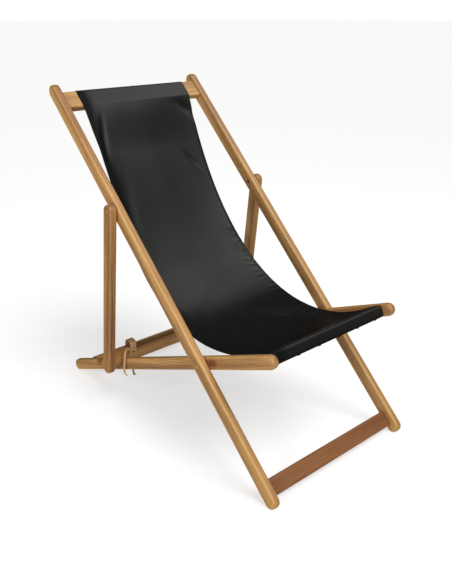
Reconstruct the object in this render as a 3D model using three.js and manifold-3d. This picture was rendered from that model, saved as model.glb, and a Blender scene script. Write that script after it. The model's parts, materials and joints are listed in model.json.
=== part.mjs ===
// A folding deck chair: a back frame, a seat frame that turns inside it, a prop frame that
// hangs outside it, and a cloth sling from the top rail to the front rail.
// Millimetres. +Z is up, the sitter faces -Y, and X runs across the chair, with +X at the
// sitter's left. The origin is on the floor, under the middle of the bounding box.

import * as THREE from 'three';
import { mergeVertices } from 'three/addons/utils/BufferGeometryUtils.js';
import Module from 'manifold-3d';

const wasm = await Module();
wasm.setup();

// ---- Driving dimensions ----

// timber
const backWidth = 560;      // over the outer faces of the back rails
const railT = 24;           // every rail's and arm's thickness, across the chair
const railH = 40;           // depth of the back rails and prop arms
const seatRailH = 38;       // depth of the seat rails
const edgeR = 6;            // rounding along every rail's edges
const barR = 5;             // rounding along the cross pieces' edges
const footFlat = 1;         // how much of the round feet is planed flat

// stance
const backAngle = 45;       // back rails above the floor, in degrees
const seatAngle = 22;       // seat rails above the floor, in degrees
const propAngle = 83;       // prop arms below the horizontal, in degrees
const backFoot = 405;       // main pivot to the centre of the back rail's round foot
const backTop = 950;        // main pivot to the centre of the back rail's round top
const seatFront = 262;      // main pivot to the centre of the seat rail's round front end
const propPivot = 517;      // main pivot to the prop's pivot, along the back rail

// cross pieces: size along the rail, thickness, and place along and above the rail's middle
const topRail = { high: 60, thick: 25, along: 908, above: 0 };
const footSlat = { high: 48, thick: 15, along: -375, above: -5 };
const frontRail = { high: 24, thick: 32, along: -238, above: 0 };
const rearStretcher = { high: 22, thick: 46, fromEnd: 91.147, above: -2 };
const propBar = { high: 48, thick: 24 };
const tenonDepth = 14;
const tenonShoulder = 6;    // how far a tenon is set in from its piece's faces

// notches in the seat rails
const notchCount = 3;
const notchPitch = 72;
const notchDepth = 20;
const notchRamp = 24;       // length of the sloping side, which faces the rear wall
const notchFloorSpare = 4;  // floor in front of the bar's lowest edge

// pivots
const sideGap = 2;          // between frames that turn past each other
const boltR = 3;
const boltHeadR = 5;
const boltHeadL = 6;
const nutR = 5.2;
const nutL = 5;
const washerR = 9;
const plugT = 2;
const counterboreR = 6;
const counterboreL = 9;

// cloth
const clothT = 3;
const slingTopWidth = 400;
const slingFrontWidth = 450;
const slingTopAngle = 64.7; // how steeply the cloth leaves the top rail, in degrees
const slingTopPull = 516;   // length of the curve's handle there
const slingFrontDip = 4;    // how much steeper than the seat rails it comes to the front rail
const slingFrontPull = 459;
const tackCount = 6;
const tackHeadR = 5;
const tackHeadT = 1.8;
const tackShankR = 1.1;
const tackLength = 14;
const tackMargin = 22;      // from the cloth's edge to the first tack

// strap
const strapWidth = 30;
const strapT = 2;
const strapInset = 3.5;     // from the seat rail's inner face
const studR = 4;
const studT = 1.6;
const tailR = 2.4;

// clearances
const fit = 0.3;            // between pieces that touch
const runningFit = 0.1;     // radial, between a bolt and the hole that turns on it

// ---- Derived sizes ----

const rad = THREE.MathUtils.degToRad;
const back = rad(backAngle);
const seat = rad(seatAngle);
const prop = rad(propAngle);

const backRailX = backWidth / 2 - railT / 2;
const seatRailX = backRailX - railT - sideGap;
const armX = backRailX + railT + sideGap;
const backInner = backWidth / 2 - railT;
const seatInner = seatRailX - railT / 2;
const armInner = armX - railT / 2;

const pivotZ = railH / 2 - footFlat + backFoot * Math.sin(back);
const seatRear = (pivotZ - seatRailH / 2 + footFlat) / Math.sin(seat);
rearStretcher.along = seatRear - rearStretcher.fromEnd;
const frontmost = -backFoot * Math.cos(back) - railH / 2;
const rearmost = Math.max(
  seatRear * Math.cos(seat) + seatRailH / 2,
  backTop * Math.cos(back) + railH / 2,
);
const pivotY = -(frontmost + rearmost) / 2;

// The prop's bar in the seat rail's frame, where y runs to the rear and z is square to the
// rail. Its lowest edge stands on the notch's floor.
const foldAngle = back + seat;
const propLean = prop - seat;
const notchFloor = seatRailH / 2 - notchDepth;
const barFrontDrop = (propBar.thick / 2) * Math.cos(propLean);
const barReach = (propPivot * Math.sin(foldAngle) - barFrontDrop - notchFloor - fit) / Math.sin(propLean);
const barFrontY = propPivot * Math.cos(foldAngle) + barReach * Math.cos(propLean)
  - (propBar.thick / 2) * Math.sin(propLean);
const barRearY = barFrontY + propBar.thick * Math.sin(propLean);
propBar.along = barReach - propBar.high / 2;
propBar.above = 0;

// ---- Materials ----

const timber = new THREE.MeshStandardMaterial({ color: 0xb98a55, roughness: 0.5, metalness: 0 });
const darkTimber = new THREE.MeshStandardMaterial({ color: 0x8c5c34, roughness: 0.55, metalness: 0 });
const plugTimber = new THREE.MeshStandardMaterial({ color: 0x9a6c3e, roughness: 0.55, metalness: 0 });
const cloth = new THREE.MeshStandardMaterial({ color: 0x1d1d1e, roughness: 0.8, metalness: 0 });
const leather = new THREE.MeshStandardMaterial({ color: 0xc79a6a, roughness: 0.7, metalness: 0 });
const steel = new THREE.MeshStandardMaterial({ color: 0x9a9a9a, roughness: 0.35, metalness: 1 });
const brass = new THREE.MeshStandardMaterial({ color: 0xa9803f, roughness: 0.35, metalness: 1 });

// ---- Solids: joining and cutting ----

function solidOf(geometry) {
  const bare = geometry.clone();
  bare.deleteAttribute('normal');
  bare.deleteAttribute('uv');
  const merged = mergeVertices(bare, 1e-4);
  return new wasm.Manifold(new wasm.Mesh({
    numProp: 3,
    vertProperties: new Float32Array(merged.attributes.position.array),
    triVerts: new Uint32Array(merged.index.array),
  }));
}

function geometryOf(solid) {
  const mesh = solid.getMesh();
  const geometry = new THREE.BufferGeometry();
  geometry.setAttribute('position', new THREE.BufferAttribute(mesh.vertProperties, 3));
  geometry.setIndex(new THREE.BufferAttribute(mesh.triVerts, 1));
  geometry.computeVertexNormals();
  return geometry;
}

function cutFrom(geometry, cutters) {
  let solid = solidOf(geometry);
  for (const cutter of cutters) {
    solid = solid.subtract(solidOf(cutter));
  }
  return geometryOf(solid);
}

function joined(geometries) {
  let solid = solidOf(geometries[0]);
  for (const other of geometries.slice(1)) {
    solid = solid.add(solidOf(other));
  }
  return geometryOf(solid);
}

// ---- Shapes ----

// Turns a side-view outline (y to the rear, z up), extruded along its own axis, into the
// chair's axes, centred on x = 0.
function extrudedAcross(outline, width, options = {}) {
  const geometry = new THREE.ExtrudeGeometry(outline, {
    depth: width, bevelEnabled: false, curveSegments: 8, ...options,
  });
  geometry.translate(0, 0, -width / 2);
  geometry.applyMatrix4(new THREE.Matrix4().makeBasis(
    new THREE.Vector3(0, 1, 0), new THREE.Vector3(0, 0, 1), new THREE.Vector3(1, 0, 0),
  ));
  return geometry;
}

function stadium(from, to, height) {
  const outline = new THREE.Shape();
  outline.absarc(to, 0, height / 2, -Math.PI / 2, Math.PI / 2);
  outline.absarc(from, 0, height / 2, Math.PI / 2, Math.PI * 1.5);
  outline.closePath();
  return outline;
}

function rail(from, to, height) {
  return extrudedAcross(stadium(from, to, height), railT - 2 * edgeR, {
    bevelEnabled: true,
    bevelThickness: edgeR,
    bevelSize: edgeR,
    bevelOffset: -edgeR,
    bevelSegments: 2,
    curveSegments: 10,
  });
}

function roundedBox(along, above, r) {
  const a = along / 2;
  const b = above / 2;
  const outline = new THREE.Shape();
  outline.absarc(a - r, -b + r, r, -Math.PI / 2, 0);
  outline.absarc(a - r, b - r, r, 0, Math.PI / 2);
  outline.absarc(-a + r, b - r, r, Math.PI / 2, Math.PI);
  outline.absarc(-a + r, -b + r, r, Math.PI, Math.PI * 1.5);
  outline.closePath();
  return outline;
}

// A cross piece between two inner faces, with a tenon at each end.
function crossPiece(piece, innerX) {
  const body = extrudedAcross(roundedBox(piece.high, piece.thick, barR), 2 * (innerX - fit), {
    curveSegments: 3,
  });
  const tenons = new THREE.BoxGeometry(
    2 * (innerX + tenonDepth - fit), piece.high - 2 * tenonShoulder, tenonThickness(piece),
  );
  return joined([body, tenons]).translate(0, piece.along, piece.above);
}

function tenonThickness(piece) {
  return Math.min(piece.thick - tenonShoulder, seatRailH - 2 * tenonShoulder);
}

// The socket for that tenon, in the rail's own frame, where +x is outwards.
function mortise(piece) {
  const box = new THREE.BoxGeometry(
    2 * tenonDepth, piece.high - 2 * tenonShoulder + 2 * fit, tenonThickness(piece) + 2 * fit,
  );
  return box.translate(-railT / 2, piece.along, piece.above);
}

function cylinderAcross(r, fromX, toX, along = 0) {
  const geometry = new THREE.CylinderGeometry(r, r, toX - fromX, 16);
  geometry.rotateZ(Math.PI / 2);
  return geometry.translate((fromX + toX) / 2, along, 0);
}

function boltHole(along) {
  return cylinderAcross(boltR + runningFit, -railT, railT, along);
}

function outerCounterbore(along) {
  return cylinderAcross(counterboreR, railT / 2 - counterboreL, railT, along);
}

function innerCounterbore(along) {
  return cylinderAcross(counterboreR, -railT, -railT / 2 + nutL + 2 * fit, along);
}

// Everything below the floor, in the frame of a rail that leans by an angle.
function floorCut(footAlong, lean, height) {
  const slab = new THREE.BoxGeometry(4 * railT, 4 * height, height);
  slab.translate(0, 0, -height / 2 - height / 2 + footFlat);
  slab.rotateX(-lean);
  return slab.translate(0, footAlong, 0);
}

function notch(index) {
  const front = barFrontY + index * notchPitch - notchFloorSpare;
  const rear = barRearY + index * notchPitch + 2 * fit;
  const rise = notchDepth + seatRailH;
  const slope = notchRamp / notchDepth;
  const outline = new THREE.Shape();
  outline.moveTo(rear, notchFloor);
  outline.lineTo(rear, notchFloor + rise);
  outline.lineTo(front - rise * slope, notchFloor + rise);
  outline.lineTo(front, notchFloor);
  outline.closePath();
  return extrudedAcross(outline, 2 * railT);
}

// ---- Scene ----

const chair = new THREE.Group();

// A geometry is made for the left side, with +x outwards. The right side is its mirror image.
function mirrored(geometry) {
  return geometryOf(solidOf(geometry).mirror([1, 0, 0]));
}

function addPiece(group, name, geometry, material) {
  const mesh = new THREE.Mesh(geometry, material);
  mesh.name = name;
  group.add(mesh);
  return mesh;
}

// One copy on each side of the chair, at distance x from its middle.
function addPair(group, name, geometry, material, x) {
  addPiece(group, `${name}_left`, geometry, material).position.x = x;
  addPiece(group, `${name}_right`, mirrored(geometry), material).position.x = -x;
}

function frameGroup(y, z, lean) {
  const group = new THREE.Group();
  group.position.set(0, y, z);
  group.rotation.x = lean;
  chair.add(group);
  return group;
}

const backFrame = frameGroup(pivotY, pivotZ, back);
const seatFrame = frameGroup(pivotY, pivotZ, -seat);
const propFrame = frameGroup(
  pivotY + propPivot * Math.cos(back), pivotZ + propPivot * Math.sin(back), -prop,
);

// ---- Back frame ----

function tackPlaces(width) {
  const span = width - 2 * tackMargin;
  return Array.from({ length: tackCount }, (unused, i) => -span / 2 + (i * span) / (tackCount - 1));
}

// Tacks hold the cloth to the rear face of the top rail and to the underside of the front rail.
const topTacks = tackPlaces(slingTopWidth);
const frontTacks = tackPlaces(slingFrontWidth);
const tackBack = -(topRail.thick / 2 + fit + clothT);
const tackUnder = frontRail.above - (frontRail.thick / 2 + fit + clothT);

function tackHole(x, along, above) {
  const r = tackShankR + fit;
  const hole = new THREE.CylinderGeometry(r, r, 2 * (tackLength + fit), 8);
  return hole.rotateX(Math.PI / 2).translate(x, along, above);
}

const backRail = cutFrom(rail(-backFoot, backTop, railH), [
  mortise(topRail),
  mortise(footSlat),
  boltHole(0),
  outerCounterbore(0),
  boltHole(propPivot),
  innerCounterbore(propPivot),
  floorCut(-backFoot, back, railH),
]);
addPair(backFrame, 'back_rail', backRail, timber, backRailX);

const topRailSolid = cutFrom(
  crossPiece(topRail, backInner), topTacks.map((x) => tackHole(x, topRail.along, tackBack)),
);
addPiece(backFrame, 'top_rail', topRailSolid, timber);
addPiece(backFrame, 'foot_slat', crossPiece(footSlat, backInner), darkTimber);

// ---- Seat frame ----

const notches = Array.from({ length: notchCount }, (unused, i) => notch(i));
const seatRail = cutFrom(rail(-seatFront, seatRear, seatRailH), [
  mortise(frontRail),
  mortise(rearStretcher),
  boltHole(0),
  innerCounterbore(0),
  ...notches,
  floorCut(seatRear, -seat, seatRailH),
]);
addPair(seatFrame, 'seat_rail', seatRail, timber, seatRailX);

const frontRailSolid = cutFrom(
  crossPiece(frontRail, seatInner), frontTacks.map((x) => tackHole(x, frontRail.along, tackUnder)),
);
addPiece(seatFrame, 'front_rail', frontRailSolid, timber);
addPiece(seatFrame, 'rear_stretcher', crossPiece(rearStretcher, seatInner), timber);

// ---- Prop frame ----

const propArm = cutFrom(rail(0, barReach, railH), [
  mortise(propBar),
  boltHole(0),
  outerCounterbore(0),
]);
addPair(propFrame, 'prop_arm', propArm, timber, armX);
addPiece(propFrame, 'prop_bar', crossPiece(propBar, armInner), darkTimber);

// ---- Pivots ----

// A bolt through two neighbouring rails, with its head in the outer one and its nut in the
// inner one. The group's x = 0 is the middle of the chair.
function pivotHardware(group, plugGroup, name, along, outerX) {
  const outerFace = outerX + railT / 2;
  const gapFrom = outerX - railT / 2 - sideGap;
  const innerFace = gapFrom - railT;
  const headTop = outerFace - plugT - 2 * fit;
  const bolt = joined([
    cylinderAcross(boltR, innerFace + fit, headTop - boltHeadL / 2, along),
    cylinderAcross(boltHeadR, headTop - boltHeadL, headTop, along),
  ]);
  const washer = cutFrom(cylinderAcross(washerR, gapFrom + fit, gapFrom + sideGap - fit, along), [
    cylinderAcross(boltR + fit, gapFrom - sideGap, gapFrom + 2 * sideGap, along),
  ]);
  const nut = cutFrom(cylinderAcross(nutR, innerFace + fit, innerFace + nutL, along), [
    cylinderAcross(boltR + fit, innerFace - nutL, innerFace + 2 * nutL, along),
  ]);
  const plug = cylinderAcross(counterboreR - fit, outerFace - plugT, outerFace, plugGroup === group ? along : 0);
  addPair(group, `${name}_bolt`, bolt, steel, 0);
  addPair(group, `${name}_washer`, washer, steel, 0);
  addPair(group, `${name}_nut`, nut, steel, 0);
  addPair(plugGroup, `${name}_plug`, plug, plugTimber, 0);
}

pivotHardware(backFrame, backFrame, 'main_pivot', 0, backRailX);
pivotHardware(backFrame, propFrame, 'prop_pivot', propPivot, armX);

// ---- Sling ----

// A point given along and above a leaning rail, as an offset from the main pivot.
function onFrame(lean, along, above) {
  return new THREE.Vector2(
    along * Math.cos(lean) - above * Math.sin(lean),
    along * Math.sin(lean) + above * Math.cos(lean),
  );
}

// The cloth's middle line round a cross piece, from one angle to another. Angle 0 points
// along the rail and 90 degrees above it.
function wrapRound(piece, lean, fromDeg, toDeg, steps) {
  const offset = fit + clothT / 2;
  const a = piece.high / 2 - barR;
  const b = piece.thick / 2 - barR;
  const r = barR + offset;
  const points = [];
  for (let i = 0; i <= steps; i += 1) {
    const angle = rad(fromDeg + ((toDeg - fromDeg) * i) / steps);
    const along = piece.along + Math.sign(Math.cos(angle)) * a + r * Math.cos(angle);
    const above = piece.above + Math.sign(Math.sin(angle)) * b + r * Math.sin(angle);
    points.push(onFrame(lean, along, above));
  }
  return points;
}

function slingLine() {
  const leavingTop = wrapRound(topRail, back, 91, 90 + slingTopAngle - backAngle, 3);
  const start = leavingTop.pop();
  const meetingFront = wrapRound(frontRail, -seat, 89 - slingFrontDip, 89, 2);
  const end = meetingFront.shift();
  const topTurn = rad(slingTopAngle);
  const frontTurn = seat + rad(slingFrontDip);
  const leaving = new THREE.Vector2(-Math.cos(topTurn), -Math.sin(topTurn)).multiplyScalar(slingTopPull);
  const arriving = new THREE.Vector2(Math.cos(frontTurn), -Math.sin(frontTurn)).multiplyScalar(slingFrontPull);
  const hang = new THREE.CubicBezierCurve(
    start, start.clone().add(leaving), end.clone().add(arriving), end,
  );
  const behindTop = onFrame(back, topRail.along - topRail.high / 2 + barR, -topRail.thick / 2 - fit - clothT / 2);
  const behindFront = onFrame(
    -seat, frontRail.along + frontRail.high / 2 - barR, frontRail.above - frontRail.thick / 2 - fit - clothT / 2,
  );
  return [
    behindTop,
    ...wrapRound(topRail, back, -89, -1, 4),
    ...wrapRound(topRail, back, 1, 89, 4),
    ...leavingTop,
    ...hang.getPoints(28),
    ...meetingFront,
    ...wrapRound(frontRail, -seat, 91, 179, 4),
    ...wrapRound(frontRail, -seat, 181, 269, 4),
    behindFront,
  ];
}

// The outline of a strip of even thickness along a line of points.
function ribbon(points, thickness) {
  const sides = [[], []];
  points.forEach((point, i) => {
    const before = points[Math.max(i - 1, 0)];
    const after = points[Math.min(i + 1, points.length - 1)];
    const normal = after.clone().sub(before).normalize().multiplyScalar(thickness / 2);
    sides[0].push(new THREE.Vector2(point.x - normal.y, point.y + normal.x));
    sides[1].unshift(new THREE.Vector2(point.x + normal.y, point.y - normal.x));
  });
  return new THREE.Shape([...sides[0], ...sides[1]]);
}

// The cloth widens from the top rail to the front rail.
function slingPlan() {
  const reach = 2 * (backTop + seatFront);
  const top = onFrame(back, topRail.along, 0).x;
  const front = onFrame(-seat, frontRail.along, 0).x;
  const growth = (slingFrontWidth - slingTopWidth) / 2 / (top - front);
  const halfAt = (y) => slingTopWidth / 2 + growth * (top - y);
  const outline = new THREE.Shape();
  outline.moveTo(-slingTopWidth / 2, top + 2 * topRail.high);
  outline.lineTo(-slingTopWidth / 2, top - topRail.high);
  outline.lineTo(-halfAt(front), front);
  outline.lineTo(-halfAt(front), front - 4 * frontRail.thick);
  outline.lineTo(halfAt(front), front - 4 * frontRail.thick);
  outline.lineTo(halfAt(front), front);
  outline.lineTo(slingTopWidth / 2, top - topRail.high);
  outline.lineTo(slingTopWidth / 2, top + 2 * topRail.high);
  outline.closePath();
  const plan = new THREE.ExtrudeGeometry(outline, { depth: 2 * reach, bevelEnabled: false });
  return plan.translate(0, 0, -reach);
}

// A tack hole moved from a leaning frame to the sling's own frame.
function leaned(geometry, lean) {
  return geometry.clone().rotateX(lean);
}

const slingSheet = extrudedAcross(ribbon(slingLine(), clothT), 2 * slingFrontWidth);
const slingTrimmed = geometryOf(solidOf(slingSheet).intersect(solidOf(slingPlan())));
const slingSolid = cutFrom(slingTrimmed, [
  ...topTacks.map((x) => leaned(tackHole(x, topRail.along, tackBack), back)),
  ...frontTacks.map((x) => leaned(tackHole(x, frontRail.along, tackUnder), -seat)),
]);
const slingGroup = frameGroup(pivotY, pivotZ, 0);
addPiece(slingGroup, 'sling', slingSolid, cloth);

// A tack points along +z, its head's top at z = 0 and its shank above it.
function tack() {
  const profile = [
    new THREE.Vector2(0, 0),
    new THREE.Vector2(tackHeadR * 0.6, 0.3),
    new THREE.Vector2(tackHeadR, tackHeadT - 0.4),
    new THREE.Vector2(tackHeadR, tackHeadT),
    new THREE.Vector2(tackShankR, tackHeadT),
    new THREE.Vector2(tackShankR, tackLength - 3),
    new THREE.Vector2(0, tackLength),
  ];
  return new THREE.LatheGeometry(profile, 10).rotateX(Math.PI / 2);
}

function addTacks(group, name, places, along, above) {
  places.forEach((x, i) => {
    const mesh = addPiece(group, `${name}_${i + 1}`, tack(), brass);
    mesh.position.set(x, along, above - tackHeadT - fit);
  });
}

addTacks(backFrame, 'top_tack', topTacks, topRail.along, tackBack);
addTacks(seatFrame, 'front_tack', frontTacks, frontRail.along, tackUnder);

// ---- Strap ----

// A leather band round the prop's bar, just inside the right seat rail, with a stud and two
// loose tails. In the prop's frame y runs down the arm and z to the rear.
const strapX = -(seatInner - strapInset - strapWidth / 2);
const bandHigh = propBar.high + 2 * fit;
const bandThick = propBar.thick + 2 * fit;

const band = roundedBox(bandHigh + 2 * strapT, bandThick + 2 * strapT, barR + strapT);
band.holes.push(roundedBox(bandHigh, bandThick, barR));
const bandMesh = addPiece(propFrame, 'strap_band', extrudedAcross(band, strapWidth, { curveSegments: 4 }), leather);
bandMesh.position.set(strapX, propBar.along, 0);

const bandFront = -bandThick / 2 - strapT;
const stud = new THREE.CylinderGeometry(studR * 0.7, studR, studT, 16).rotateX(-Math.PI / 2);
const studMesh = addPiece(propFrame, 'strap_stud', stud, brass);
studMesh.position.set(strapX, propBar.along, bandFront - fit - studT / 2);

function tail(points) {
  const section = new THREE.Shape();
  section.absarc(0, 0, tailR, 0, Math.PI * 2);
  const path = new THREE.CatmullRomCurve3(points.map((p) => new THREE.Vector3(...p)));
  return new THREE.ExtrudeGeometry(section, { steps: 10, curveSegments: 4, extrudePath: path });
}

// The outer tail goes over the seat rail's top and down its outer face.
const railTopOnBar = barReach - notchDepth / Math.sin(propLean);
const outsideRail = -(seatRailX + railT / 2 + tailR + 1.5);
const tailFront = bandFront - tailR - fit;
addPiece(propFrame, 'strap_tail_outer', tail([
  [strapX - strapWidth / 2, railTopOnBar - 8, tailFront],
  [-seatRailX, railTopOnBar - 16, tailFront - 8],
  [outsideRail, railTopOnBar - 8, tailFront - 17],
  [outsideRail - 2, railTopOnBar + 28, tailFront - 27],
  [outsideRail - 3, railTopOnBar + 66, tailFront - 36],
]), leather);
addPiece(propFrame, 'strap_tail_inner', tail([
  [strapX, barReach + strapT + fit + tailR + 0.6, 0],
  [strapX, barReach + 12, -10],
  [strapX - 1, barReach + 28, -22],
  [strapX - 1, barReach + 46, -30],
]), leather);

export default chair;
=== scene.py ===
import json
import math
import random

import bmesh
import bpy
from mathutils import Matrix, Vector


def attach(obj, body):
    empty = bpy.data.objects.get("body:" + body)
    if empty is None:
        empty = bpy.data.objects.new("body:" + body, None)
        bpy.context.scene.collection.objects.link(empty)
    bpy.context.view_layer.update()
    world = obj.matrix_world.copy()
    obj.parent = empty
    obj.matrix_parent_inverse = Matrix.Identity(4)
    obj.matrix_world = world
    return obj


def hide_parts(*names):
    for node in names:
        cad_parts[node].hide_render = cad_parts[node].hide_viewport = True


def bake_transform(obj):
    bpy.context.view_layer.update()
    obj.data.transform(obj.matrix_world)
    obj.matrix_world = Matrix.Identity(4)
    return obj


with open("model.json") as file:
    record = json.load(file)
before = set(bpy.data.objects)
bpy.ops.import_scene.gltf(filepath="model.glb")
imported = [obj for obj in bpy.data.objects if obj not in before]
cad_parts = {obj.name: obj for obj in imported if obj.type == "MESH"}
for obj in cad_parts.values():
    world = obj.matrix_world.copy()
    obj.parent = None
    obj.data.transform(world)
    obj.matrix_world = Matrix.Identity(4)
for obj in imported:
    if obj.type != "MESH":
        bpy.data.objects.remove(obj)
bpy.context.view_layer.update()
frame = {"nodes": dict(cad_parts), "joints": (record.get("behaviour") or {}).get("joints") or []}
nodes = frame["nodes"]
random.seed(7)
print("frame loaded,", len(nodes), "CAD nodes")


# ---- where things are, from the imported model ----

pivot = {joint["name"]: Vector(joint["pos_m"]) for joint in frame["joints"]}
mainPivot = pivot["seat_fold"]
propPivot = pivot["prop_swing"]
backDegrees, seatDegrees = 45, 22
backLean = math.radians(backDegrees)
seatLean = math.radians(-seatDegrees)
propLean = math.radians(-83)


def onRail(lean, along, above, x=0.0, origin=mainPivot):
    # a point given along a leaning rail and square to it
    return origin + Vector((
        x,
        along * math.cos(lean) - above * math.sin(lean),
        along * math.sin(lean) + above * math.cos(lean),
    ))


def smoothStep(low, high, value):
    t = min(max((value - low) / (high - low), 0.0), 1.0)
    return t * t * (3 - 2 * t)


# ---- camera, light and floor ----

stage = {
    "cameraTurn": -41.92,       # degrees from straight in front, towards the sitter's right
    "cameraRise": 22.43,
    "cameraAway": 2.179,
    "cameraTarget": (0.0, -0.0195, 0.3913),
    "lens": 42.96,
    "keyStrength": 2.3,
    "keyTurn": 5, "keyRise": 58, "keySoftness": 38,
    "leftTurn": -80, "leftRise": 22, "leftAway": 3.2, "leftSize": 1.8, "leftPower": 40,
    "rightTurn": 89, "rightRise": 52, "rightAway": 3.0, "rightSize": 1.9, "rightPower": 15,
    "lightsMeet": (0, 0, 0.4),  # where both soft lights point
    "floorRadius": 60,
    "floorTone": (0.5, 0.5, 0.497, 1),
    "floorGlow": 0.58,
    "surroundings": 0.14,
    "glareLimit": 0.015,        # what the surroundings give to gloss
}


def towards(turn, rise):
    # unit vector from the chair towards a camera or light
    a, e = math.radians(turn), math.radians(rise)
    return Vector((math.sin(a) * math.cos(e), -math.cos(a) * math.cos(e), math.sin(e)))


def aimed(obj, place, target):
    obj.location = place
    obj.rotation_euler = (Vector(target) - Vector(place)).to_track_quat("-Z", "Y").to_euler()
    bpy.context.scene.collection.objects.link(obj)
    return obj


cameraData = bpy.data.cameras.new("camera")
cameraData.lens = stage["lens"]
cameraData.sensor_width = 36
cameraData.clip_end = 100
target = Vector(stage["cameraTarget"])
camera = aimed(
    bpy.data.objects.new("camera", cameraData),
    target + stage["cameraAway"] * towards(stage["cameraTurn"], stage["cameraRise"]),
    target,
)
bpy.context.scene.camera = camera
bpy.context.scene.view_settings.view_transform = "Standard"


def softLight(side, tone):
    light = bpy.data.lights.new(side + "Light", "AREA")
    light.shape = "DISK"
    light.size = stage[side + "Size"]
    light.energy = stage[side + "Power"]
    light.color = tone
    meet = Vector(stage["lightsMeet"])
    place = meet + stage[side + "Away"] * towards(stage[side + "Turn"], stage[side + "Rise"])
    return aimed(bpy.data.objects.new(side + "Light", light), place, meet)


key = bpy.data.lights.new("keyLight", "SUN")
key.energy = stage["keyStrength"]
key.angle = math.radians(stage["keySoftness"])
key.color = (1, 0.99, 0.97)
aimed(bpy.data.objects.new("keyLight", key), 4 * towards(stage["keyTurn"], stage["keyRise"]), (0, 0, 0))
softLight("left", (1, 0.99, 0.98))
softLight("right", (1, 1, 1))

world = bpy.data.worlds.new("studio")
bpy.context.scene.world = world
world.use_nodes = True
wn, wl = world.node_tree.nodes, world.node_tree.links
wn.clear()
worldOut = wn.new("ShaderNodeOutputWorld")
seen = wn.new("ShaderNodeBackground")
seen.inputs["Color"].default_value = (1, 1, 1, 1)
seen.inputs["Strength"].default_value = 1.0
given = wn.new("ShaderNodeBackground")
given.inputs["Color"].default_value = (0.97, 0.985, 1, 1)
given.inputs["Strength"].default_value = stage["surroundings"]
rays = wn.new("ShaderNodeLightPath")
either = wn.new("ShaderNodeMixShader")
wl.new(rays.outputs["Is Camera Ray"], either.inputs["Fac"])
unlit = wn.new("ShaderNodeBackground")
unlit.inputs["Color"].default_value = (1, 1, 1, 1)
unlit.inputs["Strength"].default_value = stage["glareLimit"]
calm = wn.new("ShaderNodeMixShader")
wl.new(rays.outputs["Is Glossy Ray"], calm.inputs["Fac"])
wl.new(given.outputs["Background"], calm.inputs[1])
wl.new(unlit.outputs["Background"], calm.inputs[2])
wl.new(calm.outputs["Shader"], either.inputs[1])
wl.new(seen.outputs["Background"], either.inputs[2])
wl.new(either.outputs["Shader"], worldOut.inputs["Surface"])

floorMesh = bpy.data.meshes.new("studioFloor")
bm = bmesh.new()
bmesh.ops.create_circle(bm, cap_ends=True, segments=96, radius=stage["floorRadius"])
bmesh.ops.translate(bm, verts=bm.verts, vec=(0, 0, -0.0005))
bm.to_mesh(floorMesh)
bm.free()
floorPaint = bpy.data.materials.new("studioFloor")
floorPaint.use_nodes = True
floorShader = floorPaint.node_tree.nodes["Principled BSDF"]
floorShader.inputs["Base Color"].default_value = stage["floorTone"]
floorShader.inputs["Roughness"].default_value = 0.9
floorShader.inputs["Specular IOR Level"].default_value = 0.1
floorShader.inputs["Emission Color"].default_value = (1, 1, 1, 1)
floorShader.inputs["Emission Strength"].default_value = stage["floorGlow"]
floorTree = floorPaint.node_tree
matt = floorTree.nodes.new("ShaderNodeBsdfDiffuse")
matt.inputs["Color"].default_value = (0.02, 0.02, 0.02, 1)
floorRays = floorTree.nodes.new("ShaderNodeLightPath")
floorMix = floorTree.nodes.new("ShaderNodeMixShader")
floorTree.links.new(floorRays.outputs["Is Glossy Ray"], floorMix.inputs["Fac"])     # no glare from the floor
floorTree.links.new(floorShader.outputs["BSDF"], floorMix.inputs[1])
floorTree.links.new(matt.outputs["BSDF"], floorMix.inputs[2])
floorTree.links.new(floorMix.outputs["Shader"], floorTree.nodes["Material Output"].inputs["Surface"])
floorMesh.materials.append(floorPaint)
studioFloor = bpy.data.objects.new("studioFloor", floorMesh)
bpy.context.scene.collection.objects.link(studioFloor)
print("camera, light and floor placed")


# ---- shared effects, as node groups ----

def effect(name, inputs, outputs):
    # an empty group with (name, kind, value) inputs and (name, kind) outputs
    group = bpy.data.node_groups.new(name, "ShaderNodeTree")
    kinds = {"number": "NodeSocketFloat", "vector": "NodeSocketVector", "colour": "NodeSocketColor"}
    for label, kind, value in inputs:
        socket = group.interface.new_socket(label, in_out="INPUT", socket_type=kinds[kind])
        if value is not None:
            socket.default_value = value
    for label, kind in outputs:
        group.interface.new_socket(label, in_out="OUTPUT", socket_type=kinds[kind])
    return group, group.nodes.new("NodeGroupInput"), group.nodes.new("NodeGroupOutput")


def maths(tree, operation, a, b=None, clamp=False):
    node = tree.nodes.new("ShaderNodeMath")
    node.operation = operation
    node.use_clamp = clamp
    for socket, value in zip(node.inputs, (a, b)):
        if isinstance(value, bpy.types.NodeSocket):
            tree.links.new(value, socket)
        elif value is not None:
            socket.default_value = value
    return node.outputs["Value"]


def vectorMaths(tree, operation, a, b):
    node = tree.nodes.new("ShaderNodeVectorMath")
    node.operation = operation
    for socket, value in zip(node.inputs, (a, b)):
        if isinstance(value, bpy.types.NodeSocket):
            tree.links.new(value, socket)
        else:
            socket.default_value = value
    return node.outputs["Value" if operation == "LENGTH" else "Vector"]


def noise(tree, vector, scale, detail=3.0, roughness=0.55):
    # scale is a triple, so that the pattern can be drawn out along the grain
    node = tree.nodes.new("ShaderNodeTexNoise")
    node.inputs["Scale"].default_value = 1
    node.inputs["Detail"].default_value = detail
    node.inputs["Roughness"].default_value = roughness
    tree.links.new(vectorMaths(tree, "MULTIPLY", vector, scale), node.inputs["Vector"])
    return node.outputs["Fac"]


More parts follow.
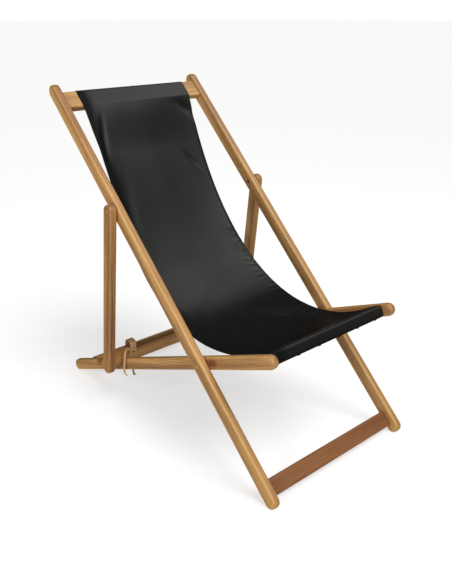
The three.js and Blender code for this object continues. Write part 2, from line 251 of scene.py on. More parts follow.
def between(tree, value, low, high, outLow=0.0, outHigh=1.0):
    node = tree.nodes.new("ShaderNodeMapRange")
    node.interpolation_type = "SMOOTHSTEP"
    node.inputs["From Min"].default_value = low
    node.inputs["From Max"].default_value = high
    node.inputs["To Min"].default_value = outLow
    node.inputs["To Max"].default_value = outHigh
    tree.links.new(value, node.inputs["Value"])
    return node.outputs["Result"]


def mixed(tree, factor, a, b, blend="MIX"):
    node = tree.nodes.new("ShaderNodeMix")
    node.data_type = "RGBA"
    node.blend_type = blend
    for socket, value in ((node.inputs["Factor"], factor), (node.inputs[6], a), (node.inputs[7], b)):
        if isinstance(value, bpy.types.NodeSocket):
            tree.links.new(value, socket)
        else:
            socket.default_value = value
    return node.outputs[2]


def makeGrain():
    # timber with its grain along the vector's Y, in metres
    group, given, out = effect("timberGrain", [
        ("Vector", "vector", None),
        ("Light", "colour", (0.5, 0.3, 0.13, 1)),
        ("Mid", "colour", (0.4, 0.22, 0.08, 1)),
        ("Dark", "colour", (0.2, 0.08, 0.03, 1)),
        ("Streaks", "number", 0.5),
        ("Rings", "number", 0.5),
    ], [("Colour", "colour"), ("Roughness", "number"), ("Height", "number")])
    point = given.outputs["Vector"]
    wander = noise(group, point, (3.0, 2.2, 3.0), 2.0)
    drift = maths(group, "MULTIPLY", maths(group, "SUBTRACT", wander, 0.5), 0.012)
    shift = group.nodes.new("ShaderNodeCombineXYZ")
    group.links.new(drift, shift.inputs["X"])
    group.links.new(drift, shift.inputs["Z"])
    bent = vectorMaths(group, "ADD", point, shift.outputs["Vector"])
    # broad tone, growth rings, streaks, fibres and pores
    tone = noise(group, bent, (26.0, 1.5, 26.0), 4.0, 0.6)
    heart = vectorMaths(group, "ADD", bent, (0.045, 0.0, 0.06))
    fromHeart = vectorMaths(group, "LENGTH", vectorMaths(group, "MULTIPLY", heart, (1.0, 0.02, 1.0)), (0, 0, 0))
    swirl = noise(group, bent, (9.0, 1.1, 9.0), 3.0)
    ringPlace = maths(group, "ADD", maths(group, "MULTIPLY", fromHeart, 210.0),
                      maths(group, "MULTIPLY", swirl, 9.0))
    ring = maths(group, "FRACT", ringPlace)
    ringEdge = between(group, ring, 0.35, 0.95)
    ringEdge = maths(group, "MULTIPLY", ringEdge, between(group, ring, 1.0, 0.93))
    streak = between(group, noise(group, bent, (75.0, 1.9, 75.0), 3.0, 0.6), 0.56, 0.74)
    fibre = noise(group, bent, (620.0, 16.0, 620.0), 3.0, 0.65)
    pore = between(group, noise(group, bent, (950.0, 45.0, 950.0), 1.0), 0.66, 0.78)
    colour = mixed(group, between(group, tone, 0.34, 0.66), given.outputs["Light"], given.outputs["Mid"])
    ringMask = maths(group, "MULTIPLY", ringEdge, given.outputs["Rings"])
    colour = mixed(group, ringMask, colour, given.outputs["Dark"])
    streakMask = maths(group, "MULTIPLY", streak, given.outputs["Streaks"])
    colour = mixed(group, streakMask, colour, given.outputs["Dark"])
    fibreTone = between(group, fibre, 0.25, 0.75, 0.84, 1.1)
    lit = group.nodes.new("ShaderNodeCombineColor")
    for channel in ("Red", "Green", "Blue"):
        group.links.new(fibreTone, lit.inputs[channel])
    colour = mixed(group, 1.0, colour, lit.outputs["Color"], "MULTIPLY")
    colour = mixed(group, maths(group, "MULTIPLY", pore, 0.45), colour, given.outputs["Dark"])
    rough = maths(group, "ADD", maths(group, "MULTIPLY", fibre, 0.16), maths(group, "MULTIPLY", tone, 0.12))
    height = maths(group, "SUBTRACT", fibre, maths(group, "MULTIPLY", pore, 0.8))
    height = maths(group, "SUBTRACT", height, maths(group, "MULTIPLY", ringEdge, 0.25))
    group.links.new(colour, out.inputs["Colour"])
    group.links.new(maths(group, "ADD", rough, 0.3), out.inputs["Roughness"])
    group.links.new(height, out.inputs["Height"])
    return group


def makeEdgeWear():
    # 1 on a bar's rounded long edges and ends, 0 on its flats, broken up as by handling
    group, given, out = effect("edgeWear", [
        ("Vector", "vector", None),
        ("Half Size", "vector", (0.012, 0.4, 0.02)),
        ("Radius", "number", 0.006),
    ], [("Mask", "number")])
    away = vectorMaths(group, "SUBTRACT", vectorMaths(group, "ABSOLUTE", given.outputs["Vector"], (0, 0, 0)),
                       given.outputs["Half Size"])
    parts = group.nodes.new("ShaderNodeSeparateXYZ")
    group.links.new(away, parts.inputs["Vector"])
    radius = given.outputs["Radius"]
    nearX = maths(group, "ADD", maths(group, "DIVIDE", parts.outputs["X"], radius), 1.0, True)
    nearZ = maths(group, "ADD", maths(group, "DIVIDE", parts.outputs["Z"], radius), 1.0, True)
    edge = maths(group, "MULTIPLY", nearX, nearZ)
    patches = noise(group, given.outputs["Vector"], (90.0, 24.0, 90.0), 4.0, 0.6)
    breakUp = between(group, patches, 0.3, 0.7, 0.35, 1.0)
    group.links.new(maths(group, "MULTIPLY", between(group, edge, 0.02, 0.45), breakUp), out.inputs["Mask"])
    return group


def makeWeave():
    # plain canvas weave on a UV map in metres
    group, given, out = effect("canvasWeave", [
        ("Vector", "vector", None),
        ("Threads", "number", 1150.0),
    ], [("Height", "number"), ("Slub", "number"), ("Fade", "number")])
    parts = group.nodes.new("ShaderNodeSeparateXYZ")
    group.links.new(given.outputs["Vector"], parts.inputs["Vector"])
    turns = maths(group, "MULTIPLY", given.outputs["Threads"], math.pi)
    warp = maths(group, "SINE", maths(group, "MULTIPLY", parts.outputs["X"], turns))
    weft = maths(group, "SINE", maths(group, "MULTIPLY", parts.outputs["Y"], turns))
    over = maths(group, "MULTIPLY", warp, weft)
    lift = maths(group, "ADD", maths(group, "MULTIPLY", over, 0.5), 0.5)
    slubWarp = noise(group, given.outputs["Vector"], (900.0, 22.0, 1.0), 2.0)
    slubWeft = noise(group, given.outputs["Vector"], (22.0, 900.0, 1.0), 2.0)
    slub = maths(group, "MULTIPLY", maths(group, "ADD", slubWarp, slubWeft), 0.5)
    fade = noise(group, given.outputs["Vector"], (7.0, 4.5, 1.0), 4.0, 0.6)
    group.links.new(maths(group, "ADD", lift, maths(group, "MULTIPLY", slub, 0.9)), out.inputs["Height"])
    group.links.new(slub, out.inputs["Slub"])
    group.links.new(fade, out.inputs["Fade"])
    return group


def makeSpeckle():
    # fine blotches and scratches for metal and leather
    group, given, out = effect("speckle", [
        ("Vector", "vector", None),
        ("Scale", "number", 1.0),
    ], [("Blotch", "number"), ("Fine", "number")])
    scaled = group.nodes.new("ShaderNodeVectorMath")
    scaled.operation = "SCALE"
    group.links.new(given.outputs["Vector"], scaled.inputs[0])
    group.links.new(given.outputs["Scale"], scaled.inputs["Scale"])
    group.links.new(noise(group, scaled.outputs["Vector"], (160.0, 160.0, 160.0), 4.0, 0.6), out.inputs["Blotch"])
    group.links.new(noise(group, scaled.outputs["Vector"], (1100.0, 1100.0, 1100.0), 2.0), out.inputs["Fine"])
    return group


grainGroup = makeGrain()
wearGroup = makeEdgeWear()
weaveGroup = makeWeave()
speckleGroup = makeSpeckle()
print("shared effects built")


# ---- materials ----

def newMaterial(name):
    material = bpy.data.materials.new(name)
    material.use_nodes = True
    return material, material.node_tree, material.node_tree.nodes["Principled BSDF"]


def placedEffect(tree, group, vector, **values):
    node = tree.nodes.new("ShaderNodeGroup")
    node.node_tree = group
    tree.links.new(vector, node.inputs["Vector"])
    for label, value in values.items():
        node.inputs[label].default_value = value
    return node


def objectPlace(tree, centre=(0, 0, 0), turn=(0, 0, 0)):
    # object coordinates measured from a piece's middle and along its length
    where = tree.nodes.new("ShaderNodeTexCoord")
    mapping = tree.nodes.new("ShaderNodeMapping")
    mapping.vector_type = "TEXTURE"
    mapping.inputs["Location"].default_value = centre
    mapping.inputs["Rotation"].default_value = turn
    tree.links.new(where.outputs["Object"], mapping.inputs["Vector"])
    return mapping.outputs["Vector"]


def bumped(tree, shader, height, strength, distance):
    bump = tree.nodes.new("ShaderNodeBump")
    bump.inputs["Strength"].default_value = strength
    bump.inputs["Distance"].default_value = distance
    tree.links.new(height, bump.inputs["Height"])
    tree.links.new(bump.outputs["Normal"], shader.inputs["Normal"])


tones = {
    "honey": ((0.62, 0.345, 0.11, 1), (0.34, 0.165, 0.058, 1), (0.10, 0.035, 0.014, 1)),
    "amber": ((0.53, 0.28, 0.09, 1), (0.29, 0.137, 0.048, 1), (0.09, 0.032, 0.012, 1)),
    "russet": ((0.285, 0.115, 0.037, 1), (0.20, 0.075, 0.026, 1), (0.09, 0.031, 0.01, 1)),
}


def timber(name, tone, centre, lean, size, across=False, streaks=0.5, rings=0.4, knotAndShadow=None):
    # size is (across the chair, along the rail, square to it); across turns the grain to run with X
    material, tree, shader = newMaterial(name)
    turn = Matrix.Rotation(lean, 3, "X")
    half = [s / 2 for s in size]
    if across:
        turn = turn @ Matrix.Rotation(math.radians(90), 3, "Z")
        half = [half[1], half[0], half[2]]
    place = objectPlace(tree, centre, turn.to_euler("XYZ"))
    light, mid, dark = tones[tone]
    grain = placedEffect(tree, grainGroup, place, Light=light, Mid=mid, Dark=dark, Streaks=streaks, Rings=rings)
    wear = placedEffect(tree, wearGroup, place, **{"Half Size": half, "Radius": 0.006})
    rubbed = tuple(min(c * 1.18, 1) for c in light[:3]) + (1,)
    colour = mixed(tree, maths(tree, "MULTIPLY", wear.outputs["Mask"], 0.45), grain.outputs["Colour"], rubbed)
    # dark red-brown mark: partly a real knot, partly painted shadow cast by the back rail beside it
    if knotAndShadow:
        spot = vectorMaths(tree, "LENGTH", vectorMaths(tree, "MULTIPLY", vectorMaths(
            tree, "SUBTRACT", place, knotAndShadow), (1.0, 0.62, 1.0)), (0, 0, 0))
        colour = mixed(tree, between(tree, spot, 0.017, 0.004, 0.0, 0.85), colour, (0.16, 0.03, 0.012, 1))
    tree.links.new(colour, shader.inputs["Base Color"])
    tree.links.new(maths(tree, "SUBTRACT", grain.outputs["Roughness"], maths(
        tree, "MULTIPLY", wear.outputs["Mask"], 0.08)), shader.inputs["Roughness"])
    shader.inputs["Specular IOR Level"].default_value = 0.42
    bumped(tree, shader, grain.outputs["Height"], 0.35, 0.0004)
    return material


# painted reflection and shade: where the cloth is given more specular, in metres on its flat, each pair from matt
# to shiny; it brightens the back and front roll and darkens the seat and near edge as light would
paintedSheen = {
    "back": (0.92, 0.78), "frontRoll": (1.238, 1.262), "nearEdge": (-0.200, -0.150),
    "low": 0.04, "high": 0.42,
}


def canvas(name, threads=1150.0, strength=0.3):
    material, tree, shader = newMaterial(name)
    uv = tree.nodes.new("ShaderNodeUVMap")
    uv.uv_map = "weave"
    weave = placedEffect(tree, weaveGroup, uv.outputs["UV"], Threads=threads)
    colour = mixed(tree, between(tree, weave.outputs["Fade"], 0.3, 0.7),
                   (0.004, 0.004, 0.004, 1), (0.007, 0.007, 0.007, 1))
    colour = mixed(tree, between(tree, weave.outputs["Slub"], 0.35, 0.65), colour, (0.011, 0.011, 0.0105, 1))
    tree.links.new(colour, shader.inputs["Base Color"])
    tree.links.new(between(tree, weave.outputs["Slub"], 0.3, 0.7, 0.52, 0.42), shader.inputs["Roughness"])
    # painted reflection and shade: more specular on the back and over the front rail than on the seat and along
    # the near edge
    parts = tree.nodes.new("ShaderNodeSeparateXYZ")
    tree.links.new(uv.outputs["UV"], parts.inputs["Vector"])
    along, across = parts.outputs["Y"], parts.outputs["X"]
    onBack, onRoll = between(tree, along, *paintedSheen["back"]), between(tree, along, *paintedSheen["frontRoll"])
    glossy = maths(tree, "MAXIMUM", onBack, onRoll)
    glossy = maths(tree, "MULTIPLY", glossy, between(tree, across, *paintedSheen["nearEdge"]))
    specular = between(tree, glossy, 0.0, 1.0, paintedSheen["low"], paintedSheen["high"])
    tree.links.new(specular, shader.inputs["Specular IOR Level"])
    bumped(tree, shader, weave.outputs["Height"], strength, 0.0003)
    return material


def hide(name, colour, dark):
    material, tree, shader = newMaterial(name)
    place = objectPlace(tree)
    fleck = placedEffect(tree, speckleGroup, place, Scale=0.7)
    pores = tree.nodes.new("ShaderNodeTexVoronoi")
    pores.inputs["Scale"].default_value = 900
    tree.links.new(place, pores.inputs["Vector"])
    blotched = mixed(tree, between(tree, fleck.outputs["Blotch"], 0.35, 0.7), colour, dark)
    tree.links.new(blotched, shader.inputs["Base Color"])
    tree.links.new(between(tree, fleck.outputs["Fine"], 0.3, 0.7, 0.5, 0.68), shader.inputs["Roughness"])
    bumped(tree, shader, maths(tree, "ADD", pores.outputs["Distance"], fleck.outputs["Fine"]), 0.3, 0.0003)
    return material


def metal(name, colour, tarnish, rough):
    material, tree, shader = newMaterial(name)
    fleck = placedEffect(tree, speckleGroup, objectPlace(tree), Scale=1.6)
    blotched = mixed(tree, between(tree, fleck.outputs["Blotch"], 0.4, 0.75), colour, tarnish)
    tree.links.new(blotched, shader.inputs["Base Color"])
    tree.links.new(between(tree, fleck.outputs["Fine"], 0.3, 0.7, rough, rough + 0.2), shader.inputs["Roughness"])
    shader.inputs["Metallic"].default_value = 1
    bumped(tree, shader, fleck.outputs["Fine"], 0.15, 0.0002)
    return material


def paint(name, material):
    mesh = nodes[name].data
    mesh.materials.clear()
    mesh.materials.append(material)


# ---- timber pieces: the CAD shapes stay ----

rails = {
    "back_rail": {"lean": backLean, "middle": 0.2725, "origin": mainPivot,
                  "x": 0.268, "size": (0.024, 1.395, 0.04)},
    "seat_rail": {"lean": seatLean, "middle": 0.2525, "origin": mainPivot,
                  "x": 0.242, "size": (0.024, 1.03, 0.038)},
    "prop_arm": {"lean": propLean, "middle": 0.257, "origin": propPivot,
                 "x": 0.294, "size": (0.024, 0.58, 0.04)},
}
railTones = {
    "back_rail_left": ("honey", 0.6, 0.45), "back_rail_right": ("honey", 0.8, 0.35),
    "seat_rail_left": ("amber", 0.4, 0.3), "seat_rail_right": ("honey", 0.75, 0.5),
    "prop_arm_left": ("amber", 0.35, 0.3), "prop_arm_right": ("amber", 0.8, 0.45),
}
for kind, rail in rails.items():
    for side, sign in (("left", 1), ("right", -1)):
        name = kind + "_" + side
        tone, streaks, rings = railTones[name]
        centre = onRail(rail["lean"], rail["middle"], 0, sign * rail["x"], rail["origin"])
        # a dark mark just in front of the pivot: partly a knot, partly painted shadow of the back rail
        knotAndShadow = (-0.012, -0.291, 0.002) if name == "seat_rail_right" else None
        paint(name, timber(name + "_timber", tone, centre, rail["lean"], rail["size"],
                           streaks=streaks, rings=rings, knotAndShadow=knotAndShadow))

crossPieces = {
    "top_rail": ("honey", backLean, 0.908, 0.0, mainPivot, (0.512, 0.06, 0.025)),
    "foot_slat": ("russet", backLean, -0.375, -0.005, mainPivot, (0.512, 0.048, 0.015)),
    "front_rail": ("amber", seatLean, -0.238, 0.0, mainPivot, (0.46, 0.024, 0.032)),
    "rear_stretcher": ("amber", seatLean, 0.676, -0.002, mainPivot, (0.46, 0.022, 0.046)),
    "prop_bar": ("amber", propLean, 0.49, 0.0, propPivot, (0.564, 0.048, 0.024)),
}
for name, (tone, lean, along, above, origin, size) in crossPieces.items():
    centre = onRail(lean, along, above, 0, origin)
    paint(name, timber(name + "_timber", tone, centre, lean, size, across=True))

plugTimber = timber("plug_timber", "amber", onRail(propLean, 0, 0, 0, propPivot), 0, (0.6, 0.012, 0.012), True)
steel = metal("zinc_steel", (0.55, 0.56, 0.58, 1), (0.3, 0.29, 0.28, 1), 0.28)
brass = metal("aged_brass", (0.62, 0.42, 0.17, 1), (0.22, 0.13, 0.06, 1), 0.3)
for name in nodes:
    if "plug" in name:
        paint(name, plugTimber)
    elif "bolt" in name or "nut" in name or "washer" in name:
        paint(name, steel)
    elif "tack" in name:
        paint(name, brass)
print("timber and metal finished")


# ---- sling ----

sling = {
    "clothThick": 0.0013,
    "gap": 0.0003,              # between cloth and wood
    "topNear": -0.2085, "topFar": 0.2065,   # edges at the top rail
    "frontNear": -0.2285, "frontFar": 0.2285,
    "topAngle": 65.2, "topPull": 0.525,
    "frontAngle": 31.4, "frontPull": 0.378,
    "nearBow": (0.0045, 0.0077, 0.0122),    # how each edge bows from the middle line, in one, two and three waves
    "farBow": (-0.0257, -0.0090, 0.0013),
    "cup": 0.018,               # how far the middle hangs below the edges
    "curl": 0.0035,             # how far the selvedges roll under
    "hemWidth": 0.016,
    "columns": 92, "rows": 330,
    "stitchLength": 0.0034, "stitchPitch": 0.0048, "stitchThick": 0.00055,
}
topBar = {"lean": backLean, "along": 0.908, "above": 0.0, "high": 0.060, "thick": 0.025, "round": 0.005}
frontBar = {"lean": seatLean, "along": -0.238, "above": 0.0, "high": 0.024, "thick": 0.032, "round": 0.005}


def roundBar(bar, fromDeg, toDeg, steps):
    # points round a bar at the cloth's middle; 0 degrees points along the rail
    offset = sling["gap"] + sling["clothThick"] / 2
    a, b, r = bar["high"] / 2 - bar["round"], bar["thick"] / 2 - bar["round"], bar["round"] + offset
    points = []
    for i in range(steps + 1):
        angle = math.radians(fromDeg + (toDeg - fromDeg) * i / steps)
        points.append(onRail(
            bar["lean"],
            bar["along"] + math.copysign(a, math.cos(angle)) + r * math.cos(angle),
            bar["above"] + math.copysign(b, math.sin(angle)) + r * math.sin(angle),
        ))
    return points


def bezier(p0, p1, p2, p3, steps):
    points = []
    for i in range(steps + 1):
        t = i / steps
        points.append((1 - t) ** 3 * p0 + 3 * (1 - t) ** 2 * t * p1 + 3 * (1 - t) * t * t * p2 + t ** 3 * p3)
    return points


offset = sling["gap"] + sling["clothThick"] / 2
behindTop = onRail(backLean, topBar["along"] - 0.022, -topBar["thick"] / 2 - offset)
behindFront = onRail(seatLean, frontBar["along"] + 0.009, frontBar["above"] - frontBar["thick"] / 2 - offset)
leaving = roundBar(topBar, 91, 90 + sling["topAngle"] - backDegrees, 4)
reaching = roundBar(frontBar, 90 - (sling["frontAngle"] - seatDegrees), 89, 3)
arriving = reaching[0]
topTurn, frontTurn = math.radians(sling["topAngle"]), math.radians(sling["frontAngle"])
hang = bezier(
    leaving[-1],
    leaving[-1] - sling["topPull"] * Vector((0, math.cos(topTurn), math.sin(topTurn))),
    arriving + sling["frontPull"] * Vector((0, math.cos(frontTurn), -math.sin(frontTurn))),
    arriving, 160,
)
route = [behindTop] + roundBar(topBar, -89, -1, 8) + roundBar(topBar, 1, 89, 8) + leaving[:-1]
hangStart = len(route)
route += hang
hangEnd = len(route) - 1
route += reaching[1:]
route += roundBar(frontBar, 91, 179, 8) + roundBar(frontBar, 181, 269, 8) + [behindFront]
reached = [0.0]
for a, b in zip(route, route[1:]):
    reached.append(reached[-1] + (b - a).length)
clothLength = reached[-1]
hangFrom, hangTo = reached[hangStart], reached[hangEnd]
print("sling length", round(clothLength, 4), "hangs from", round(hangFrom, 4), "to", round(hangTo, 4))


def onRoute(distance):
    # place on the middle line, and the direction square to the cloth on the sitter's side
    distance = min(max(distance, 0.0), clothLength)
    low, high = 0, len(reached) - 1
    while high - low > 1:
        mid = (low + high) // 2
        low, high = (mid, high) if reached[mid] <= distance else (low, mid)
    share = (distance - reached[low]) / (reached[high] - reached[low])
    place = route[low].lerp(route[high], share)
    before, after = route[max(low - 1, 0)], route[min(high + 1, len(route) - 1)]
    way = (route[high] - route[low]).lerp(after - before, 0.5).normalized()
    return place, Vector((0, way.z, -way.y))


# creases: (distance along, distance in from the near edge, length along, width, direction in degrees, depth)
creases = [
    (0.150, 0.372, 0.075, 0.014, 38, -0.0055), (0.128, 0.330, 0.055, 0.022, 50, -0.003),
    (0.215, 0.020, 0.085, 0.010, -14, 0.0040), (0.262, 0.034, 0.080, 0.009, -10, -0.0036),
    (0.345, 0.362, 0.040, 0.008, 36, -0.0030), (0.470, 0.050, 0.110, 0.022, -8, -0.0025),
    (1.035, 0.405, 0.045, 0.010, 62, 0.0055), (1.005, 0.372, 0.060, 0.013, 58, -0.0040),
    (0.930, 0.330, 0.090, 0.020, 66, 0.0022), (0.860, 0.120, 0.120, 0.024, -60, 0.0018),
    (0.700, 0.240, 0.160, 0.040, 80, -0.0016), (0.300, 0.210, 0.200, 0.045, 8, 0.0018),
]
puckers = []
for start, stop, side, depth in ((0.62, 1.06, 1, 0.0062), (0.80, 1.02, -1, 0.0055)):
    at = start
    while at < stop:
        puckers.append((at, side, depth * random.uniform(0.45, 1.15), random.uniform(0.020, 0.048),
                        random.uniform(0.0042, 0.0075), random.uniform(-0.5, 0.15)))
        at += random.uniform(0.016, 0.027)


def edgesAt(distance):
    share = min(max((distance - hangFrom) / (hangTo - hangFrom), 0.0), 1.0)
    near = sling["topNear"] + (sling["frontNear"] - sling["topNear"]) * share
    far = sling["topFar"] + (sling["frontFar"] - sling["topFar"]) * share
    return near, far


def clothPoint(across, distance, lift=0.0):
    # across runs from 0 at the near edge to 1 at the far one
    near, far = edgesAt(distance)
    width = far - near
    place, up = onRoute(distance)
    free = smoothStep(hangFrom + 0.005, hangFrom + 0.16, distance)
    free *= smoothStep(hangTo - 0.004, hangTo - 0.13, distance)
    slack = smoothStep(hangFrom, hangFrom + 0.05, distance) * smoothStep(hangTo, hangTo - 0.05, distance)
    fromNear, fromFar = across * width, (1 - across) * width
    side = 2 * across - 1
    share = min(max((distance - hangFrom) / (hangTo - hangFrom), 0.0), 1.0)
    rise = -sling["cup"] * free * (1 - abs(side) ** (5 if side < 0 else 2.5))
    for waves, (nearBow, farBow) in enumerate(zip(sling["nearBow"], sling["farBow"]), 1):
        rise += (nearBow + (farBow - nearBow) * across) * math.sin(waves * math.pi * share)
    fromEdge = min(fromNear, fromFar)
    rise -= sling["curl"] * free * smoothStep(0.011, 0.0, fromEdge)
    rise += 0.00045 * smoothStep(sling["hemWidth"] + 0.0015, sling["hemWidth"] - 0.0015, fromEdge) * slack
    for at, inFrom, long, wide, slant, depth in creases:
        da, di = distance - at, fromNear - inFrom
        if abs(da) < 0.3 and abs(di) < 0.3:
            c, s = math.cos(math.radians(slant)), math.sin(math.radians(slant))
            lengthwise, crosswise = (da * c + di * s) / long, (-da * s + di * c) / wide
            if abs(lengthwise) < 3 and abs(crosswise) < 4:
                rise += slack * 1.7 * depth * math.exp(-lengthwise * lengthwise - crosswise * crosswise)
    for at, edgeSide, depth, reach, wide, slant in puckers:
        inFrom = fromFar if edgeSide > 0 else fromNear
        if inFrom < 0.1 and abs(distance - at) < 0.06:
            off = (distance - at - slant * inFrom) / wide
            fadeIn = smoothStep(0.0, 0.007, inFrom)
            rise -= slack * depth * fadeIn * math.exp(-(inFrom / reach) ** 2 - off * off)
    return place + Vector((near + across * width, 0, 0)) + (rise + lift) * up


def clothGrid(name, fromAcross, toAcross, fromAlong, toAlong, columns, rows, lift, thick):
    # a patch of the sling's surface as a solid sheet, with its UV map in metres
    mesh = bpy.data.meshes.new(name)
    bm = bmesh.new()
    bmesh.ops.create_grid(bm, x_segments=columns, y_segments=rows, size=1)
    uvLayer = bm.loops.layers.uv.new("weave")
    flat = {}
    for vert in bm.verts:
        across = fromAcross + (toAcross - fromAcross) * (vert.co.x + 1) / 2
        along = fromAlong + (toAlong - fromAlong) * (vert.co.y + 1) / 2
        near, far = edgesAt(along)
        flat[vert] = (near + across * (far - near), along)
        vert.co = clothPoint(across, along, lift)
    for face in bm.faces:
        face.smooth = True
        for loop in face.loops:
            loop[uvLayer].uv = flat[loop.vert]
    bmesh.ops.recalc_face_normals(bm, faces=bm.faces)
    bm.to_mesh(mesh)
    bm.free()
    obj = bpy.data.objects.new(name, mesh)
    bpy.context.scene.collection.objects.link(obj)
    wall = obj.modifiers.new("thickness", "SOLIDIFY")
    wall.thickness = thick
    wall.offset = 0
    wall.use_rim = True
    return obj


blackCanvas = canvas("black_canvas")
thread = canvas("black_thread", 4000.0, 0.2)

clothSheet = clothGrid(
    "sling_cloth", 0, 1, 0, clothLength, sling["columns"], sling["rows"], 0, sling["clothThick"],
)
clothSheet.data.materials.append(blackCanvas)
hemThick, turnedThick = 0.0009, 0.0016
underLift = -(sling["clothThick"] + hemThick) / 2 - 0.0001
hems = []
for label, low, high in (("near", 0.002, 0.040), ("far", 0.960, 0.998)):
    hem = clothGrid(
        "sling_hem_" + label, low, high, hangFrom + 0.012, hangTo - 0.012, 6, 260, underLift, hemThick,
    )
    hem.data.materials.append(blackCanvas)
    hems.append(hem)


def stitchRow(name, places):
    # short raised stitches between pairs of points, each with the cloth's upward direction
    mesh = bpy.data.meshes.new(name)
    bm = bmesh.new()
    for start, stop, up in places:
        way = (stop - start).normalized()
        side = up.cross(way).normalized()
        up = way.cross(side)
        turn = Matrix((side, way, up)).transposed().to_4x4()
        thick = sling["stitchThick"]
        size = Matrix.Diagonal((thick * 0.75, (stop - start).length / 2, thick * 0.6, 1))
        bmesh.ops.create_icosphere(bm, subdivisions=1, radius=1,
                                   matrix=Matrix.Translation((start + stop) / 2) @ turn @ size)
    for face in bm.faces:
        face.smooth = True
    uvLayer = bm.loops.layers.uv.new("weave")
    for face in bm.faces:
        for loop in face.loops:
            loop[uvLayer].uv = (loop.vert.co.x, loop.vert.co.y)
    bmesh.ops.recalc_face_normals(bm, faces=bm.faces)
    bm.to_mesh(mesh)
    bm.free()
    obj = bpy.data.objects.new(name, mesh)
    bpy.context.scene.collection.objects.link(obj)
    mesh.materials.append(thread)
    return obj


topSide = sling["clothThick"] / 2 + 0.0001
stitches = []
for label, inward in (("near", 1), ("far", -1)):
    places = []
    at = hangFrom + 0.004
    while at < hangTo - 0.004:
        ends = []
        for d in (at, at + sling["stitchLength"]):
            near, far = edgesAt(d)
            across = (sling["hemWidth"] - 0.003) / (far - near)
            ends.append(clothPoint(across if inward > 0 else 1 - across, d, topSide))
        places.append((*ends, onRoute(at)[1]))
        at += sling["stitchPitch"]
    stitches.append(stitchRow("sling_stitches_" + label, places))
for label, at in (("top", 0.019), ("front", clothLength - 0.0085)):
    places = []
    near, far = edgesAt(at)
    x = near + 0.004
    while x < far - 0.006:
        ends = [clothPoint((p - near) / (far - near), at, topSide + turnedThick)
                for p in (x, x + sling["stitchLength"])]
        places.append((*ends, onRoute(at)[1]))
        x += sling["stitchPitch"]
    stitches.append(stitchRow("sling_stitches_" + label, places))

# the cut ends are turned in, so the cloth is thicker under the tacks
turnLift = (sling["clothThick"] + turnedThick) / 2 + 0.00005
turns = []
for label, low, high in (("top", 0.0, 0.022), ("front", clothLength - 0.0115, clothLength)):
    turned = clothGrid("sling_turned_" + label, 0.001, 0.999, low, high, 60, 6, turnLift, turnedThick)
    turned.data.materials.append(blackCanvas)
    turns.append(turned)

slingPieces = [clothSheet, *hems, *turns, *stitches]
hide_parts("sling")
for piece in slingPieces:
    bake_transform(piece)
print("sling made,", len(puckers), "puckers")


# ---- strap ----

strap = {
    "x": -0.2115, "bandWide": 0.024, "bandThick": 0.0018,
    "barHigh": 0.048, "barThick": 0.024, "barAlong": 0.490,
    "tailWide": 0.0105, "tailThick": 0.0019,
}
tan = hide("tan_leather", (0.62, 0.37, 0.175, 1), (0.5, 0.27, 0.11, 1))


def onBar(along, behind, x):
    # along the prop arm, measured from its pivot, and to the rear of it
    return onRail(propLean, along, behind, x, propPivot)


def stripAlong(name, points, widths, sides, thick, closed=False):
    # a flat strip whose rows of vertices lie across a path
    mesh = bpy.data.meshes.new(name)
    bm = bmesh.new()
    columns = 4
    rows = len(points) - 1
    bmesh.ops.create_grid(bm, x_segments=columns, y_segments=rows, size=1)
    bm.loops.layers.uv.new("weave")
    for vert in bm.verts:
        row = round((vert.co.y + 1) / 2 * rows)
        vert.co = points[row] + sides[row] * (vert.co.x * widths[row] / 2)
    if closed:
        bmesh.ops.remove_doubles(bm, verts=bm.verts, dist=0.0002)
    for face in bm.faces:
        face.smooth = True
    bmesh.ops.recalc_face_normals(bm, faces=bm.faces)
    bm.to_mesh(mesh)
    bm.free()
    obj = bpy.data.objects.new(name, mesh)
    bpy.context.scene.collection.objects.link(obj)
    wall = obj.modifiers.new("thickness", "SOLIDIFY")
    wall.thickness = thick
    wall.offset = 0
    edge = obj.modifiers.new("softEdge", "BEVEL")
    edge.width = thick * 0.3
    edge.segments = 2
    edge.limit_method = "ANGLE"
    rounder = obj.modifiers.new("rounder", "SUBSURF")
    rounder.levels = rounder.render_levels = 1
    return obj


def smoothPath(points, steps):
    # Catmull-Rom through the given points
    padded = [2 * points[0] - points[1], *points, 2 * points[-1] - points[-2]]
    path = []
    for i in range(1, len(padded) - 2):
        a, b, c, d = padded[i - 1:i + 3]
        for k in range(steps):
            t = k / steps
            path.append(0.5 * (2 * b + (c - a) * t + (2 * a - 5 * b + 4 * c - d) * t * t
                               + (3 * b - a - 3 * c + d) * t ** 3))
    return [*path, points[-1]]


# the band goes once round the bar, and overlaps itself on the front face
bandR = 0.006
bandGap = 0.0004 + strap["bandThick"] / 2
halfHigh, halfThick = strap["barHigh"] / 2 + bandGap, strap["barThick"] / 2 + bandGap
loop = []
for corner in ((1, -1), (1, 1), (-1, 1), (-1, -1)):
    startAngle = {(1, -1): -90, (1, 1): 0, (-1, 1): 90, (-1, -1): 180}[corner]
    for k in range(7):
        angle = math.radians(startAngle + 15 * k)
        loop.append((
            corner[0] * (halfHigh - bandR) + bandR * math.cos(angle),
            corner[1] * (halfThick - bandR) + bandR * math.sin(angle),
        ))
loop = [(0.004, -halfThick)] + [(0.012, -halfThick)] + loop + [(-0.010, -halfThick), (0.0, -halfThick - 0.0004),
        (0.006, -halfThick - 0.0022), (0.014, -halfThick - 0.0021), (0.0185, -halfThick - 0.002)]
bandPoints = [onBar(strap["barAlong"] + a, b, strap["x"]) for a, b in loop]
acrossBar = [Vector((1, 0, 0))] * len(bandPoints)
bandWidths = [strap["bandWide"]] * (len(loop) - 3) + [strap["bandWide"] * share for share in (0.97, 0.9, 0.62)]
band = stripAlong("strap_band_leather", bandPoints, bandWidths, acrossBar, strap["bandThick"])
band.data.materials.append(tan)
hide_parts("strap_band")
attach(band, "prop_frame")


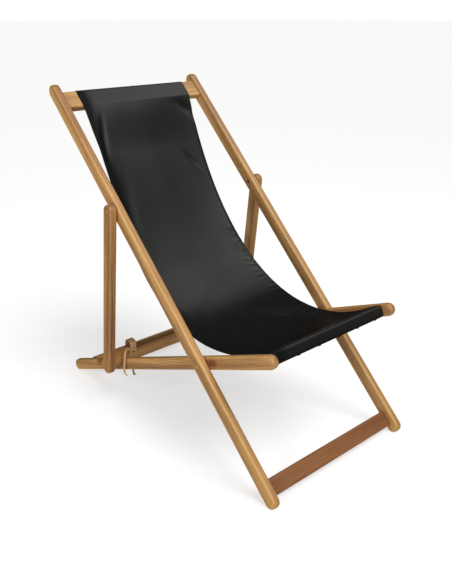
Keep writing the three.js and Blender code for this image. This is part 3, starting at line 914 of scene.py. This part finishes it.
def tailStrip(name, points, sides, nodeName):
    path = smoothPath(points, 5)
    rows = len(path)
    across = []
    for i in range(rows):
        share = i / (rows - 1) * (len(sides) - 1)
        k = min(int(share), len(sides) - 2)
        across.append(sides[k].lerp(sides[k + 1], share - k).normalized())
    widths = [strap["tailWide"] * (1 if i < rows - 3 else (0.92, 0.78, 0.5)[i - rows + 3]) for i in range(rows)]
    obj = stripAlong(name, path, widths, across, strap["tailThick"])
    obj.data.materials.append(tan)
    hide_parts(nodeName)
    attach(obj, "prop_frame")
    return obj


armEnd = 0.514
tailStrip("strap_tail_outer_leather", [
    onBar(armEnd - 0.024, -0.0165, -0.2235), onBar(armEnd - 0.036, -0.022, -0.236),
    onBar(armEnd - 0.036, -0.030, -0.250), onBar(armEnd - 0.024, -0.034, -0.2575),
    onBar(armEnd - 0.004, -0.036, -0.2590), onBar(armEnd + 0.016, -0.037, -0.2610),
    onBar(armEnd + 0.033, -0.041, -0.2625), onBar(armEnd + 0.040, -0.049, -0.2630),
    onBar(armEnd + 0.037, -0.056, -0.2630),
], [
    Vector((0, 0, 1)), Vector((0.2, 0, 1)), Vector((0, 1, 0.2)),
    Vector((0, 1, 0)), Vector((0, 1, 0)), Vector((0, 0.9, 0.4)),
], "strap_tail_outer")
tailStrip("strap_tail_inner_leather", [
    onBar(armEnd + 0.0030, 0.0, strap["x"]), onBar(armEnd + 0.014, -0.009, strap["x"]),
    onBar(armEnd + 0.034, -0.015, strap["x"] - 0.001), onBar(armEnd + 0.055, -0.018, strap["x"] - 0.001),
    onBar(armEnd + 0.070, -0.024, strap["x"] - 0.001), onBar(armEnd + 0.067, -0.033, strap["x"] - 0.001),
], [Vector((1, 0, 0)), Vector((1, 0.2, 0)), Vector((0.9, 0.5, 0)), Vector((0.9, 0.5, 0))], "strap_tail_inner")

studMesh = bpy.data.meshes.new("strap_stud_cap")
bm = bmesh.new()
profile = [(0.0, 0.0022), (0.0022, 0.0019), (0.0036, 0.0010), (0.0040, 0.0003), (0.0040, -0.0006), (0.0, -0.0006)]
points = [bm.verts.new((r, 0, h)) for r, h in profile]
edges = [bm.edges.new(pair) for pair in zip(points, points[1:])]
bmesh.ops.spin(bm, geom=points + edges, axis=(0, 0, 1), cent=(0, 0, 0), angle=math.tau, steps=28,
               use_merge=True)
bmesh.ops.remove_doubles(bm, verts=bm.verts, dist=1e-6)
for face in bm.faces:
    face.smooth = True
facing = Matrix.Rotation(propLean, 4, "X") @ Matrix.Rotation(math.radians(180), 4, "X")
studPlace = onBar(strap["barAlong"] + 0.010, -halfThick - 0.0036, strap["x"])
bmesh.ops.transform(bm, matrix=Matrix.Translation(studPlace) @ facing, verts=bm.verts)
bmesh.ops.recalc_face_normals(bm, faces=bm.faces)
bm.to_mesh(studMesh)
bm.free()
stud = bpy.data.objects.new("strap_stud_cap", studMesh)
bpy.context.scene.collection.objects.link(stud)
studMesh.materials.append(brass)
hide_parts("strap_stud")
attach(stud, "prop_frame")
print("strap made")

print("finished")
